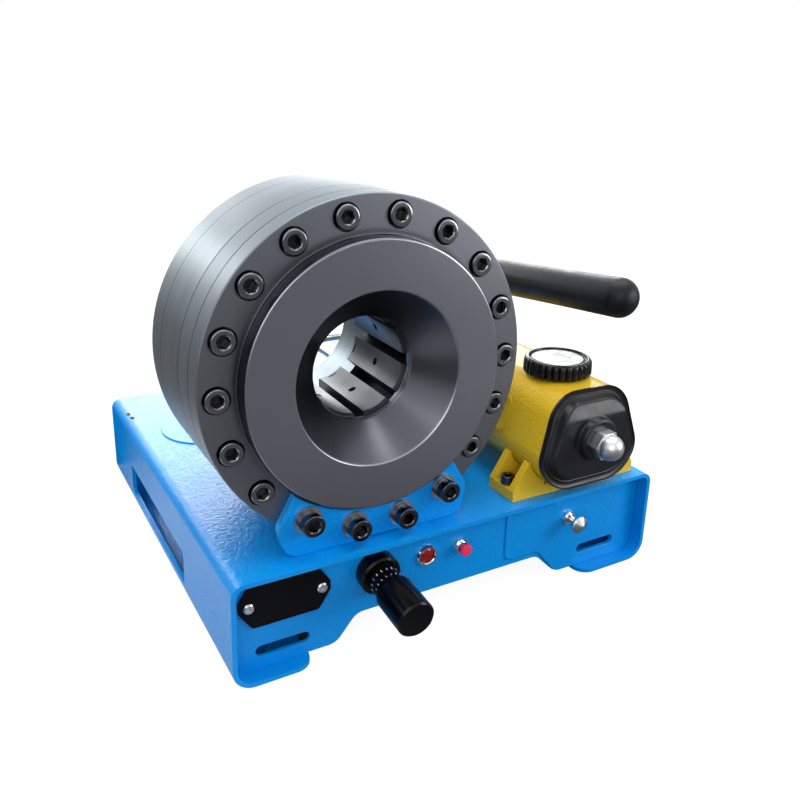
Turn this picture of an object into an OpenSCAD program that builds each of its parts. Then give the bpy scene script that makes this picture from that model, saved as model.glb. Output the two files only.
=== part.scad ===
// Hand-pumped hose crimping press on a folded sheet base.
// Origin: middle of the four bench bolts, on the underside of the base.
// The operator stands at -Y, +X is to the operator's right, +Z is up.

/* [Base] */
// Width of the sheet base over its top bends
base_w = 419; // [400:1:430]
// Depth of the sheet base
base_d = 424; // [410:1:440]
// Height of the sheet base
base_h = 95; // [90:1:105]
// Thickness of the folded sheet
sheet_t = 4; // [3:0.5:4]
// Outer radius of the two top bends
top_bend_r = 11; // [8:1:14]
// Outer radius of the two bottom bends
foot_bend_r = 18; // [12:1:20]
// Width of the left bottom flange
flange_left_w = 62; // [55:1:70]
// Width of the right bottom flange
flange_right_w = 79; // [70:1:90]
// How far the front panel stands back from the front edge
panel_recess = 15; // [12:1:18]
// Hole for a bench bolt
bench_hole_d = 9; // [7:0.5:11]
// Length of the hand-hold in each side
hand_hold_l = 202; // [150:1:220]
// Height of the hand-hold
hand_hold_h = 32; // [28:1:34]
// How far the left wall leans out at its foot
splay_left = 4; // [0:0.5:5]
// How far the right wall leans out at its foot
splay_right = 2.5; // [0:0.5:5]

/* [Head] */
// Outer diameter of the crimping head
head_d = 270; // [266:1:272]
// Diameter of the screw circle
screw_circle_d = 242; // [240:1:242]
// Diameter of the raised boss on the front cover
boss_d = 212; // [208:1:214]
// How far the boss stands out
boss_h = 13.8; // [12:0.2:16]
// Diameter of the cone mouth
mouth_d = 136; // [130:1:140]
// Diameter of the throat
throat_d = 85; // [84:1:88]
// Diameter of the ring piston
piston_d = 214; // [212:1:214]

/* [Dies] */
// Bore of the dies when they are shut
shut_bore_d = 58; // [56:0.5:60]
// How far each die moves towards the axis
die_travel = 11.5; // [10:0.5:11.5]
// Travel of the piston for each millimetre of die travel
piston_gain = 3.3333; // [3.3333:0.0001:3.3334]
// Length of the dies and of the jaws behind them
die_len = 91.7; // [88:0.1:91.7]

/* [Pump] */
// Distance of the pump from the middle of the base
pump_x = 120; // [117:1:124]
// Length of the oil reservoir
reservoir_l = 271; // [268:1:274]
// Diameter of the ribbed filler cap
filler_d = 63; // [58:1:66]
// Diameter of the lever grip
grip_d = 33; // [30:0.5:35]
// Length of the lever grip
grip_l = 200; // [150:1:220]
// Upward lean of the lever at rest, in degrees
lever_lean = 5.7; // [4.2:0.5:7.2]

/* [Controls] */
// Height of the controls above the bench
control_z = 65; // [60:1:68]
// Downward lean of the stop gauge, in degrees
gauge_lean = 5.4; // [0:0.2:6]
// Diameter of the gauge sleeve
gauge_sleeve_d = 32; // [28:1:34]

/* [Hidden] */

$fn = 96;
gap = 0.3;            // free space between curved faces of different bodies
fit = 0.05;           // radial clearance of a running fit
eps = 0.01;           // overshoot of a cutting tool

// ---- positions ----
head_x = -82.5;                          // die axis across the base
face_y = -186;                           // front face of the front cover
axis_z = base_h + head_d / 2 + 0.5;      // die axis above the bench
front_y = -base_d / 2;
panel_y = front_y + panel_recess;        // front face of the front panel
base_shift = 2;                          // the bolts stand right of the middle of the walls
top_in_z = base_h - sheet_t;             // underside of the top plate
middle_edge_z = 27.5;                    // lower edge of the panels between the feet
panel_t = 3;
overlay_t = 1.5;                         // the service panel lies on the front panel
service_low_z = 33.5;                    // lower edge of the service panel there
flange_in_left = -base_w / 2 + flange_left_w;
flange_in_right = base_w / 2 - flange_right_w;

// ---- head, along the die axis from the cover's front face ----
wall_in = 25;         // inner face of the cover's wall, where the jaws slide
cover_l = 45;         // the cover's length behind its front face
body_l = 121.5;       // end of the full-diameter part
chamber_end = 168;    // front face of the rear wall
head_l = 180;         // rear face of the head
hub_r = 60;           // outside of the guide hub
hub_in_r = 54;
hub_front = 119;
rear_r = 118;         // smaller rear part of the cylinder
bore_r = piston_d / 2 + fit;
cone_gain = 1 / piston_gain;             // slope of the piston's cone
piston_travel = die_travel * piston_gain;
jaw_y = wall_in + gap;
jaw_end = jaw_y + die_len;
jaw_rear_r = hub_r + gap;                // outside of a shut jaw at its rear end
shut_r = shut_bore_d / 2;
die_t = 11;
die_gap = 0.3;        // between neighbours when shut
piston_y = 27 + piston_travel;           // front of the piston at rest
piston_l = 101;
flange_l = 10;        // inner flange that runs on the hub
locator_d = 6;        // pin on the jaw that holds its die
jaw_mid = jaw_y + die_len / 2;

// ---- screws ----
m12_r = 6;
m12_head_d = 18;
m12_head_h = 12;
m12_clear_r = 6.6;
m12_thread_r = 6.08;
sink_d = 21;          // counterbore in the cover
sink_depth = 9;
screw_proud = 3;      // a head stands out of the cover by this much
plate_t = 8;          // cradle plate
washer_t = 2.5;
ring_angles = [for (i = [0:13]) -130 + 20 * i];
cradle_angles = [for (a = [150, 170, 190, 210]) a];

// ---- pump, in head coordinates along Y ----
foot_t = 10;
foot_w = 142;
foot_l = 37;
foot_y = face_y - 14;                    // front edge of the front foot
block_y = face_y + 246;                  // front face of the pump block
reservoir_top = axis_z - 36;
reservoir_bottom = base_h + foot_t;
reservoir_wall = 4;
widest_z = axis_z - 98.6;                // the pump's section is widest here
block_l = 84;
block_w = 72;
block_top = axis_z - 30;
rod_z = axis_z - 80;                     // tie rod
rod_r = 8;
cap_y = block_y - reservoir_l;           // back of the end cap, level with the rod
cap_lean = 6.5;                          // the reservoir's front end leans back
cap_face_y = face_y - 35;
cap_boss_y = face_y - 42.3;
nut_l = 9.7;
dome_r = 11.5;
filler_y = face_y + 26;
pivot_y = block_y + 66;
pivot_z = axis_z + 14.5;
plunger_arm = 36;                        // fulcrum to plunger pin
plunger_r = 9;
cheek_in = 6.6;
cheek_t = 6.4;
lever_l = 372;                           // fulcrum to the tip of the grip
foot_screw_x = foot_w / 2 - 7;
foot_screw_y = [foot_y + foot_l / 2, block_y + 6 + foot_l / 2];
pipe_z = axis_z - 60;
pipe_x = head_x + 67;
pipe_y = block_y + 44;
pipe_bend = 25;
pipe_r = 5;
release_y = block_y + 36;                // pressure release screw

// ---- controls ----
cover_x = head_x - 83;                   // middle of the battery cover
battery_screw_x = 30.3;
gauge_x = head_x - 3.5;
lamp_x = head_x + 45;
button_x = head_x + 79.3;
latch_x = head_x + 200;
latch_z = axis_z - 168.5;
slot_l = 46;
slot_h = 10;
slot_left_z = 20;
slot_right_z = 21.5;
slot_left_x = head_x - 86;
slot_right_x = head_x + 239;

// ---- helpers ----
function unit(v) = v / norm(v);

// points of the arc that rounds corner p between a and b
function corner(a, p, b, r, n) =
    let (u = unit(a - p), w = unit(b - p), half = acos(u * w) / 2,
        c = p + unit(u + w) * r / sin(half),
        s = p + u * r / tan(half) - c, e = p + w * r / tan(half) - c,
        a0 = atan2(s[1], s[0]), turn = (atan2(e[1], e[0]) - a0 + 540) % 360 - 180)
    [for (i = [0:n]) c + r * [cos(a0 + turn * i / n), sin(a0 + turn * i / n)]];

// outline from [x, y, corner radius] triples
function rounded(p, n = 8) =
    let (k = len(p))
    [for (i = [0:k - 1])
        let (q = [p[i][0], p[i][1]], a = p[(i + k - 1) % k], b = p[(i + 1) % k])
        each (p[i][2] == 0 ? [q] : corner([a[0], a[1]], q, [b[0], b[1]], p[i][2], n))];

// outline with n straight-sided ribs between two radii
function ribbed(n, r_in, r_out, fill = 0.5) =
    [for (i = [0:n - 1]) for (j = [0:3])
        let (r = j == 0 || j == 3 ? r_in : r_out,
            a = 360 / n * (i + [0, 0.5 - fill / 2, 0.5 + fill / 2, 0.98][j]))
        r * [cos(a), sin(a)]];

// local z runs to the rear along the die axis, local origin on the cover's front face
module head_frame() {
    translate([head_x, face_y, axis_z])
        rotate([-90, 0, 0])
            children();
}

// an XZ outline pushed back from y by t
module sheet_at(y, t) {
    translate([0, y + t, 0])
        rotate([90, 0, 0])
            linear_extrude(t)
                children();
}

// local z runs to the rear from the panel's front face
module panel_frame(x, z) {
    translate([x, panel_y, z])
        rotate([-90, 0, 0])
            children();
}

module gauge_frame() {
    translate([gauge_x, panel_y, control_z])
        rotate([-90 + gauge_lean, 0, 0])
            children();
}

// local -Y runs along the lever to its tip, local origin on the fulcrum
module lever_frame() {
    translate([pump_x, pivot_y, pivot_z])
        rotate([-lever_lean, 0, 0])
            children();
}

module tube(r_out, r_in, h) {
    difference() {
        cylinder(r = r_out, h = h);
        translate([0, 0, -1])
            cylinder(r = r_in, h = h + 2);
    }
}

module slot_2d(l, h) {
    square([l - h, h], center = true);
    for (s = [-1, 1])
        translate([s * (l - h) / 2, 0])
            circle(d = h, $fn = 32);
}

// hexagon socket screw: head top at z = 0, shank towards +z
module socket_screw(head_d, head_h, shank_r, len, key) {
    difference() {
        union() {
            rotate_extrude($fn = 48)
                polygon([[0, 0], [head_d / 2 - 1, 0], [head_d / 2, 1],
                    [head_d / 2, head_h], [0, head_h]]);
            cylinder(r = shank_r, h = head_h + len, $fn = 32);
        }
        translate([0, 0, -1])
            cylinder(d = key / cos(30), h = head_h * 0.55 + 1, $fn = 6);
    }
}

module on_screw_circle(angles) {
    for (a = angles)
        rotate([0, 0, a - 90])
            translate([screw_circle_d / 2, 0, 0])
                children();
}

// ---- base ----
// corner i of the base's section drawn in by t, from the bottom left round to the top left
function base_corner(i, t) =
    let (z = i < 2 ? t : base_h - t, out = 1 - z / base_h)
    [i == 0 || i == 3 ? -base_w / 2 - base_shift - splay_left * out + t
        : base_w / 2 - base_shift + splay_right * out - t,
        z, (i < 2 ? foot_bend_r : top_bend_r) - t];

module channel_section() {
    difference() {
        polygon(rounded([for (i = [0:3]) base_corner(i, 0)]));
        polygon(rounded([for (i = [0:3]) base_corner(i, sheet_t)]));
    }
}

// opening between the bottom flanges, wider at the ends where the flanges are rounded
module bottom_opening_2d() {
    r = 15;
    translate([flange_in_left, -base_d / 2 - 1])
        square([flange_in_right - flange_in_left, base_d + 2]);
    for (x = [[flange_in_left, -1], [flange_in_right, 1]], s = [-1, 1])
        translate([x[0], s * base_d / 2])
            difference() {
                translate([min(0, x[1] * r), min(0, -s * r)])
                    square(r);
                translate([x[1] * r, -s * r])
                    circle(r);
            }
}

module base_channel() {
    bolt_x = base_w / 2 - 27.5;
    bolt_y = base_d / 2 - 32;
    color("dodgerblue")
        difference() {
            sheet_at(front_y, base_d)
                channel_section();
            translate([0, 0, -1])
                linear_extrude(sheet_t + 2)
                    bottom_opening_2d();
            for (sx = [-1, 1], sy = [-1, 1])
                translate([sx * bolt_x, sy * bolt_y, -1])
                    cylinder(d = bench_hole_d, h = sheet_t + 2);
            for (y = foot_screw_y, s = [-1, 1])
                translate([pump_x + s * foot_screw_x, y, top_in_z - 1])
                    cylinder(r = 4.3, h = sheet_t + 2, $fn = 48);
            translate([-base_w / 2 - 10, 22, 36.5])
                rotate([90, 0, 90])
                    linear_extrude(base_w + 20)
                        polygon(rounded([[-hand_hold_l / 2, -hand_hold_h / 2, 5],
                            [hand_hold_l / 2, -hand_hold_h / 2, 5],
                            [hand_hold_l / 2, hand_hold_h / 2, 5],
                            [-hand_hold_l / 2, hand_hold_h / 2, 5]]));
        }
}

module front_panel() {
    low = sheet_t;
    color("dodgerblue")
        difference() {
            sheet_at(panel_y, panel_t)
                difference() {
                    polygon(rounded([base_corner(0, low), [-122.5, low, 14],
                        [-103.5, middle_edge_z, 14], [84.5, middle_edge_z, 14], [108, low, 14],
                        base_corner(1, low), base_corner(2, low), base_corner(3, low)]));
                    translate([slot_left_x, slot_left_z])
                        slot_2d(slot_l, slot_h);
                    translate([slot_right_x, slot_right_z])
                        slot_2d(slot_l, slot_h);
                    translate([cover_x - 27, control_z - 16])
                        square([54, 32]);
                }
            battery_screw_holes();
            panel_frame(lamp_x, control_z)
                translate([0, 0, -1])
                    cylinder(r = 8.5, h = 6);
            panel_frame(button_x, control_z)
                translate([0, 0, -1])
                    cylinder(r = 5.1, h = 6);
            panel_frame(latch_x, latch_z)
                translate([0, 0, -1])
                    cylinder(r = 6, h = 6);
            gauge_frame()
                translate([0, 0, -10])
                    cylinder(r = 12.2, h = 20);
        }
}

module service_panel() {
    left = head_x + 128.5;
    color("dodgerblue")
        difference() {
            sheet_at(panel_y - overlay_t, overlay_t)
                difference() {
                    polygon(rounded([[left, service_low_z, 8], [84.5, service_low_z, 14],
                        [108, sheet_t, 14], base_corner(1, sheet_t), base_corner(2, sheet_t),
                        [left, top_in_z, 0]]));
                    translate([slot_right_x, slot_right_z])
                        slot_2d(slot_l, slot_h);
                }
            panel_frame(latch_x, latch_z)
                translate([0, 0, -3])
                    cylinder(r = 6, h = 6);
        }
}

module cradle_plate() {
    low = base_h - axis_z;
    color("dodgerblue")
        difference() {
            translate([head_x, 0, axis_z])
                sheet_at(face_y - plate_t, plate_t)
                    difference() {
                        polygon(rounded([[-79, low, 14], [79, low, 14], [85, -109, 16],
                            [68.5, -80, 5], [-68.5, -80, 5], [-85, -109, 16]]));
                        circle(r = 108.5, $fn = 180);
                        translate([-6, low - 1])
                            square([25, 2.2]);
                    }
            head_frame()
                on_screw_circle(cradle_angles)
                    translate([0, 0, -plate_t - 1])
                        cylinder(r = m12_clear_r, h = plate_t + 2);
        }
}

module cover_disc() {
    color("dodgerblue")
        translate([head_x - 57, face_y + 275, base_h])
            rotate_extrude()
                polygon([[0, 0], [45.5, 0], [45.5, 0.8], [45, 1.2], [0, 1.2]]);
}

// ---- controls on the panel ----
module battery_cover() {
    color("black")
        difference() {
            sheet_at(panel_y - 3, 3)
                translate([cover_x, control_z])
                    polygon(rounded([[-38, -4, 2], [-28, -20, 4], [27.5, -20, 4], [38, -4, 2],
                        [38, 4, 2], [27.5, 20, 3], [-27.5, 20, 3], [-38, 4, 2]], 5));
            battery_screw_holes();
        }
}

module battery_screw_holes() {
    for (s = [-1, 1])
        panel_frame(cover_x + s * battery_screw_x, control_z)
            translate([0, 0, -10])
                cylinder(r = 2.1, h = 20, $fn = 32);
}

module battery_cover_screws() {
    head_h = 2.6;
    color("silver")
        for (s = [-1, 1])
            panel_frame(cover_x + s * battery_screw_x, control_z)
                translate([0, 0, -3 - head_h])
                    socket_screw(9, head_h, 2, 11, 3);
}

module battery_box() {
    color("dimgray")
        difference() {
            translate([cover_x - 26, panel_y, control_z - 15.5])
                cube([52, 36, 31]);
            translate([cover_x - 24, panel_y - 1, control_z - 13.5])
                cube([48, 35, 27]);
        }
}

module lamp_bezel() {
    color("silver")
        panel_frame(lamp_x, control_z)
            rotate_extrude()
                polygon([[7.25, -2.6], [7.9, -3.4], [8.8, -3.4], [9.7, -2], [9.9, 0],
                    [8.4, 0], [8.4, 18], [7.25, 18]]);
}

module lamp_lens() {
    color("darkred")
        panel_frame(lamp_x, control_z)
            rotate_extrude()
                polygon([[0, -3.3], [2.6, -3.1], [5.2, -2.5], [7.2, -1.2], [7.2, 12], [0, 12]]);
}

module button_bush() {
    color("silver")
        panel_frame(button_x, control_z)
            difference() {
                union() {
                    translate([0, 0, -3])
                        cylinder(d = 14.5, h = 3, $fn = 6);
                    translate([0, 0, -6])
                        cylinder(r = 5, h = 24, $fn = 48);
                }
                translate([0, 0, -7])
                    cylinder(r = 3.05, h = 30, $fn = 48);
            }
}

module button_cap() {
    color("crimson")
        panel_frame(button_x, control_z)
            rotate_extrude($fn = 64)
                polygon([[0, -12], [4.1, -12], [5.3, -11.6], [5.6, -10.6], [5.6, -9.4],
                    [3, -9.4], [3, 10], [0, 10]]);
}

module latch_base() {
    color("silver")
        panel_frame(latch_x, latch_z)
            difference() {
                union() {
                    translate([0, 0, -overlay_t - 3])
                        cylinder(d = 14, h = 3, $fn = 6);
                    translate([0, 0, -overlay_t - 5])
                        cylinder(r = 5, h = 5, $fn = 48);
                    translate([0, 0, -overlay_t])
                        cylinder(r = 5.9, h = 12, $fn = 48);
                }
                translate([0, 0, -8])
                    cylinder(r = 2.55, h = 24, $fn = 48);
            }
}

module latch_knob() {
    color("silver")
        panel_frame(latch_x, latch_z) {
            rotate_extrude($fn = 64)
                polygon([[0, -24.5], [2, -24], [7.8, -20.6], [8.6, -19.4], [8.4, -18],
                    [4, -9.5], [3.4, -7], [2.5, -6.8], [2.5, 12], [0, 12]]);
            translate([-4, -3, 12])
                cube([8, 26, 2]);
        }
}

// ---- stop gauge ----
module gauge_collar() {
    color("black")
        difference() {
            union() {
                intersection() {
                    gauge_frame()
                        rotate_extrude()
                            polygon([[0, -12], [16.6, -12], [18, -10.4], [18, 3], [0, 3]]);
                    translate([gauge_x - 30, panel_y - 40, 0])
                        cube([60, 40, base_h]);
                }
                gauge_frame()
                    translate([0, 0, -2])
                        cylinder(r = 12, h = 24);
            }
            gauge_frame()
                translate([0, 0, -14])
                    cylinder(r = 8.05, h = 40);
        }
}

module gauge_barrel() {
    color("black")
        gauge_frame()
            difference() {
                union() {
                    translate([0, 0, -30])
                        linear_extrude(18)
                            polygon(ribbed(40, 12.6, 13.4));
                    translate([0, 0, -58])
                        cylinder(r = 11, h = 28);
                    translate([0, 0, -12])
                        cylinder(r = 8, h = 34);
                }
                translate([0, 0, -60])
                    cylinder(r = 4.05, h = 90, $fn = 48);
            }
}

module gauge_sleeve() {
    color("black")
        gauge_frame()
            difference() {
                rotate_extrude()
                    polygon([[0, -70], [14.6, -70], [gauge_sleeve_d / 2, -68.4],
                        [gauge_sleeve_d / 2, -33.6], [15, -32.6], [13.75, -32.6],
                        [13.75, -65], [0, -65]]);
                translate([0, 0, -67])
                    cylinder(r = 4.03, h = 3, $fn = 48);
            }
}

module gauge_spindle() {
    color("silver")
        gauge_frame()
            translate([0, 0, -67])
                cylinder(r = 4, h = 67 + 42, $fn = 48);
}

module contact_block() {
    reach = 50;       // from the panel to the block's striking face
    color("dimgray")
        gauge_frame()
            translate([0, 0, reach])
                difference() {
                    translate([-12, -16, 0])
                        cube([24, 26, 14]);
                    translate([0, -11, -1])
                        cylinder(r = 2.2, h = 16, $fn = 32);
                }
    color("dimgray")
        translate([gauge_x - 12, panel_y + reach + 11, 70])
            cube([24, 3, top_in_z - 70]);
}

// ---- head ----
module front_cover() {
    r = head_d / 2;
    groove = 20;
    color("dimgray")
        head_frame()
            difference() {
                rotate_extrude($fn = 180)
                    polygon([[throat_d / 2, wall_in], [throat_d / 2, 16.8],
                        [mouth_d / 2, -boss_h + 0.6], [mouth_d / 2 + 0.8, -boss_h],
                        [boss_d / 2 - 2, -boss_h], [boss_d / 2, -boss_h + 2],
                        [boss_d / 2, 0], [r - 1, 0], [r, 1],
                        [r, groove - 0.5], [r - 0.5, groove], [r, groove + 0.5],
                        [r, cover_l - 0.7], [r - 0.7, cover_l],
                        [bore_r + 0.4, cover_l], [bore_r + 0.4, wall_in]]);
                on_screw_circle(ring_angles) {
                    translate([0, 0, -1])
                        cylinder(d = sink_d, h = sink_depth + 1, $fn = 48);
                    translate([0, 0, -1])
                        cylinder(r = m12_clear_r, h = cover_l + 2, $fn = 48);
                }
                on_screw_circle(cradle_angles)
                    translate([0, 0, -1])
                        cylinder(r = m12_clear_r, h = cover_l + 2, $fn = 48);
            }
}

module cylinder_body() {
    r = head_d / 2;
    color("dimgray")
        head_frame()
            difference() {
                rotate_extrude($fn = 180)
                    polygon([[bore_r, cover_l], [r - 0.7, cover_l], [r, cover_l + 0.7],
                        [r, body_l - 1.5], [r - 1.5, body_l], [rear_r, body_l],
                        [rear_r, chamber_end], [rear_r - 4, chamber_end + 4],
                        [rear_r - 4, head_l], [hub_in_r + 10, head_l],
                        [hub_in_r, chamber_end], [hub_in_r, hub_front], [hub_r, hub_front],
                        [hub_r, chamber_end], [bore_r, chamber_end]]);
                on_screw_circle(concat(ring_angles, cradle_angles))
                    translate([0, 0, cover_l - 1])
                        cylinder(r = m12_thread_r, h = 26, $fn = 48);
                translate([pipe_x - head_x, axis_z - pipe_z, chamber_end - 1])
                    cylinder(r = 6.1, h = head_l - chamber_end + 2, $fn = 48);
            }
}

module cover_screws() {
    color("black")
        head_frame()
            on_screw_circle(ring_angles)
                translate([0, 0, -screw_proud])
                    socket_screw(m12_head_d, m12_head_h, m12_r, 56, 10);
}

module cradle_screws() {
    color("black")
        head_frame()
            on_screw_circle(cradle_angles)
                translate([0, 0, -plate_t - washer_t - m12_head_h])
                    socket_screw(m12_head_d, m12_head_h, m12_r, 76, 10);
}

module cradle_washers() {
    color("silver")
        head_frame()
            on_screw_circle(cradle_angles)
                translate([0, 0, -plate_t - washer_t])
                    tube(11.5, 6.5, washer_t);
}

// radius of the piston's cone at z, with the piston at its rest place
function cone_r(z) = jaw_rear_r + gap + (jaw_end + piston_travel - z) * cone_gain;

module piston() {
    y0 = piston_y;
    y1 = piston_y + piston_l;
    flange_y = y1 - flange_l;
    r = piston_d / 2;
    color("gray")
        head_frame()
            rotate_extrude($fn = 180)
                polygon([[cone_r(y0), y0], [r - 1, y0], [r, y0 + 1],
                    [r, y1 - 26], [r - 4, y1 - 26], [r - 4, y1 - 20], [r, y1 - 20],
                    [r, y1], [hub_r + fit, y1],
                    [hub_r + fit, y1 - 3], [hub_r + 3.5, y1 - 3],
                    [hub_r + 3.5, y1 - 7], [hub_r + fit, y1 - 7],
                    [hub_r + fit, flange_y], [cone_r(flange_y), flange_y]]);
}

module piston_seals() {
    y1 = piston_y + piston_l;
    r = piston_d / 2;
    color("black")
        head_frame() {
            translate([0, 0, y1 - 25.9])
                tube(r + 0.03, r - 3.95, 5.8);
            translate([0, 0, y1 - 6.9])
                tube(hub_r + 3.45, hub_r + 0.02, 3.8);
        }
}

// wedge between two planes at 22.5 degrees each side of local +x, less half the gap
module wedge_2d(r) {
    cut = die_gap / 2 / sin(22.5);
    half = (r - cut) * tan(22.5);
    polygon([[cut, 0], [r, -half], [r, half]]);
}

module at_jaw(k) {
    head_frame()
        rotate([0, 0, 22.5 + 45 * (k - 1)])
            translate([die_travel, 0, 0])
                children();
}

// a jaw in its rest place: wedge, cone outside, seat for the die inside
module jaw(k) {
    z0 = jaw_y;
    z1 = jaw_end;
    seat_r = shut_r + die_t;
    color("gray")
        at_jaw(k) {
            intersection() {
                rotate_extrude($fn = 180)
                    polygon([[seat_r + 0.1, z0],
                        [jaw_rear_r + (z1 - z0) * cone_gain, z0],
                        [jaw_rear_r, z1], [seat_r + 0.1, z1]]);
                translate([0, 0, z0 - 1])
                    linear_extrude(z1 - z0 + 2)
                        wedge_2d(100);
            }
            translate([shut_r + 3, 0, jaw_mid])
                rotate([0, 90, 0])
                    cylinder(d = locator_d, h = die_t, $fn = 32);
        }
}

module die(k) {
    z0 = jaw_y;
    z1 = jaw_end;
    color("silver")
        at_jaw(k)
            difference() {
                intersection() {
                    rotate_extrude()
                        polygon([[shut_r + 1.6, z0], [shut_r + die_t, z0],
                            [shut_r + die_t, z1], [shut_r + 1.6, z1],
                            [shut_r, z1 - 2.5], [shut_r, z0 + 2.5]]);
                    translate([0, 0, z0 - 1])
                        linear_extrude(z1 - z0 + 2)
                            wedge_2d(60);
                }
                translate([shut_r - 2, 0, jaw_mid])
                    rotate([0, 90, 0])
                        cylinder(d = locator_d + 0.4, h = die_t + 4, $fn = 32);
                translate([shut_r - 1, -3.5, z1 - 6])
                    cube([2.2, 7, 1.6]);
            }
}

// ---- pump ----
// section of the pump's body about its middle, drawn in by d
function pump_section(d, top, bottom) =
    [[-38.5 + d, top, 31 - d], [38.5 - d, top, 31 - d], [57.8 - d, widest_z, 23.5 - d],
        [39 - d, bottom, 37 - d], [-39 + d, bottom, 37 - d], [-57.8 + d, widest_z, 23.5 - d]];

// local z runs out of the end cap, square to the reservoir's leaning front end
module cap_frame() {
    translate([pump_x, cap_y, rod_z])
        rotate([90 - cap_lean, 0, 0])
            children();
}

module reservoir() {
    skin = 1.4;       // the end cap stands out by this much
    w = skin + reservoir_wall;
    top = reservoir_top;
    low = reservoir_bottom;
    long = reservoir_l + 20;
    color("gold")
        difference() {
            union() {
                translate([pump_x, 0, 0])
                    sheet_at(block_y - long, long)
                        polygon(rounded(pump_section(skin, top, low)));
                translate([pump_x, filler_y, top - 1])
                    cylinder(r = 21, h = 9);
                label_frame();
            }
            translate([pump_x, 0, 0])
                sheet_at(block_y - long - 1, long + 2)
                    polygon(rounded(pump_section(w, top - reservoir_wall,
                        low + reservoir_wall)));
            translate([pump_x, filler_y, top - 10])
                cylinder(r = 17, h = 20);
            cap_frame()
                translate([-80, -80, 0])
                    cube([160, 160, 60]);
        }
}

// raised border on the inner side face
module label_frame() {
    lean = 17.1;
    l = 110;
    h = 34;
    b = 4;
    translate([pump_x - 47.6, face_y + 86, axis_z - 72.5])
        rotate([0, lean, 0])
            translate([-1.5, 0, 0])
                rotate([90, 0, 90])
                    linear_extrude(3)
                        difference() {
                            label_2d(l, h, 8);
                            label_2d(l - 2 * b, h - 2 * b, 8 - b);
                        }
}

module label_2d(l, h, r) {
    polygon(rounded([[-l / 2, -h / 2, r], [l / 2, -h / 2, r], [l / 2, h / 2, r],
        [-l / 2, h / 2, r]], 5));
}

// lid of the reservoir: a rim that narrows to the front, a flat face and a boss for the nut
module end_cap() {
    edge_l = 3;
    rim_in = 5.5;
    crease_z = axis_z - 59.5;
    low_z = reservoir_bottom + 7;
    // the section in the cap's own frame, where the rod is at the origin
    function flat(d) = [for (q = pump_section(d, reservoir_top + 0.6 - d,
        reservoir_bottom + d)) [q[0], q[1] - rod_z, q[2]]];
    color("black")
        difference() {
            union() {
                hull() {
                    cap_frame()
                        linear_extrude(edge_l)
                            polygon(rounded(flat(0), 5));
                    cap_frame()
                        linear_extrude(edge_l + 1.4)
                            polygon(rounded(flat(rim_in), 5));
                    translate([pump_x, 0, 0])
                        sheet_at(cap_face_y, 1)
                            polygon(rounded([[-39, crease_z, 6], [39, crease_z, 6],
                                [50, widest_z, 20], [33, low_z, 30], [-33, low_z, 30],
                                [-50, widest_z, 20]], 5));
                }
                translate([pump_x, cap_face_y + 3, rod_z])
                    rotate([90, 0, 0])
                        cylinder(r = 19, h = cap_face_y + 3 - cap_boss_y);
            }
            translate([pump_x, cap_y + 20, rod_z])
                rotate([90, 0, 0])
                    cylinder(r = rod_r + 0.3, h = 60, $fn = 48);
        }
}

module tie_rod() {
    front = cap_boss_y - nut_l - 3;
    color("silver")
        translate([pump_x, front, rod_z])
            rotate([-90, 0, 0])
                cylinder(r = rod_r, h = block_y + 20 - front, $fn = 48);
}

module cap_nut() {
    neck_l = 3;       // from the hexagon to the middle of the dome
    color("silver")
        translate([pump_x, cap_boss_y, rod_z])
            rotate([90, 0, 0])
                difference() {
                    union() {
                        cylinder(d = 27.7, h = nut_l, $fn = 6);
                        translate([0, 0, nut_l])
                            rotate_extrude($fn = 64)
                                polygon(concat([[0, 0], [dome_r, 0]],
                                    [for (a = [0:10:90]) [dome_r * cos(a),
                                        neck_l + dome_r * sin(a)]]));
                    }
                    translate([0, 0, -1])
                        cylinder(r = rod_r + 0.02, h = nut_l + 6, $fn = 48);
                }
}

module filler_cap() {
    r = filler_d / 2;
    z0 = reservoir_top + 1;
    color("black")
        translate([pump_x, filler_y, z0])
            difference() {
                union() {
                    linear_extrude(10.5)
                        polygon(ribbed(30, r - 2.4, r, 0.55));
                    translate([0, 0, 10.5])
                        rotate_extrude()
                            polygon([[0, 0], [r - 1.6, 0], [r - 2.2, 3.4], [r - 3.4, 4.2],
                                [r - 6, 4.2], [r - 7.5, 2.4], [0, 2]]);
                }
                translate([0, 0, -1])
                    cylinder(r = 21.5, h = 9.6);
            }
}

// base pad with a gusset at each end of each side
module pump_foot() {
    low = base_h;
    half = foot_w / 2;
    difference() {
        translate([pump_x - half, 0, low])
            cube([foot_w, foot_l, foot_t]);
        for (s = [-1, 1])
            translate([pump_x + s * foot_screw_x, foot_l / 2, low - 1])
                cylinder(r = 4.3, h = foot_t + 2, $fn = 48);
    }
    for (s = [-1, 1], y = [0, foot_l - 8])
        translate([pump_x, y, low + foot_t])
            rotate([90, 0, 0])
                mirror([s < 0 ? 1 : 0, 0, 0])
                    translate([0, 0, -8])
                        linear_extrude(8)
                            polygon([[36.3, 0], [half, 0], [half - 1, 1.5], [55.6, 25],
                                [54.1, 25], [53.7, 23.5], [52.4, 20.3], [50.6, 17.3],
                                [48.7, 14.7], [45, 10.6], [40, 6.3], [36.3, 4]]);
}

module pump_feet() {
    color("gold")
        for (y = foot_screw_y)
            translate([0, y - foot_l / 2, 0])
                pump_foot();
}

module foot_screws() {
    head_h = 8;
    color("black")
        for (y = foot_screw_y, s = [-1, 1])
            translate([pump_x + s * foot_screw_x, y, base_h + foot_t + head_h])
                rotate([180, 0, 0])
                    socket_screw(13, head_h, 4, foot_t + sheet_t + 4, 6);
}

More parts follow.
